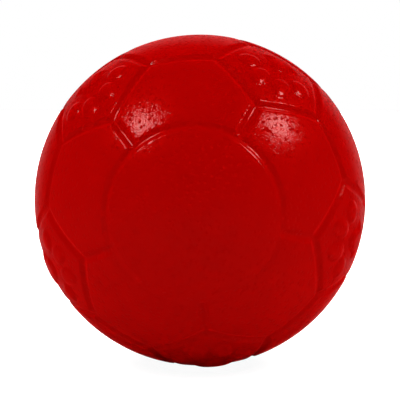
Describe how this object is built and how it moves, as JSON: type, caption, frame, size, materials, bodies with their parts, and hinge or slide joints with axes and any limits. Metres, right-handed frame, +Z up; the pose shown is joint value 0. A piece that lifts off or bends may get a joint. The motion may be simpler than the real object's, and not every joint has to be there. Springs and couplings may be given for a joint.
{
  "type": "mini soccer ball",
  "caption": "Hollow moulded rubber play ball with soccer-panel relief, plain round badges and raised paw prints, made of bonded half shells with a plugged vent.",
  "frame": {"origin": "centre of the ball", "axes": "+Z up as pictured, -Y towards the badge that faces the camera"},
  "size_m": [0.0762, 0.0761, 0.0762],
  "materials": {
    "shell_rubber": "satin moulded, fine grain with small pits",
    "cement_rubber": "matt, cured",
    "plug_rubber": "satin moulded"
  },
  "bodies": {
    "root": {"front_shell": "shell_rubber", "rear_shell": "shell_rubber", "joint_cement": "cement_rubber", "vent_plug": "plug_rubber"}
  },
  "joints": []
}
